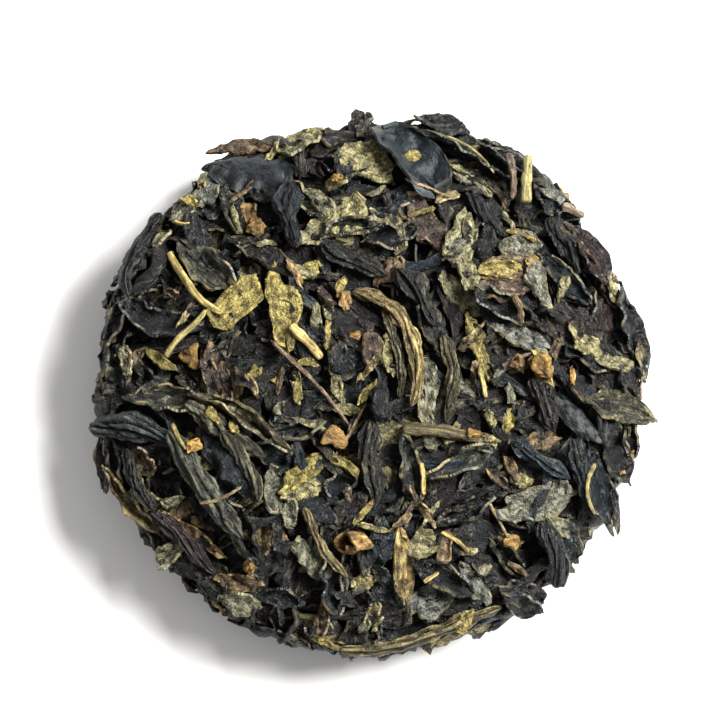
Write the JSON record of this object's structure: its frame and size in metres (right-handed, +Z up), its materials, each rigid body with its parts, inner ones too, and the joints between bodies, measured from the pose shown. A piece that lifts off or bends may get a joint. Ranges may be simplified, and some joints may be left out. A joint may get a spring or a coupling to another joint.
{
  "type": "pressed tea disc",
  "caption": "Small round disc of pressed green tea: dark rolled leaves, torn olive flakes, pale stems and buds packed into one rough-edged cake.",
  "frame": {"origin": "middle of the flat patch that the disc rests on, on the disc's axis", "axes": "+Z up through the disc's thickness, +X and +Y across its upper face"},
  "size_m": [0.0549, 0.0555, 0.0136],
  "materials": {
    "tea_leaf": "satin"
  },
  "bodies": {
    "root": {"tea_disc": "tea_leaf"}
  },
  "joints": []
}
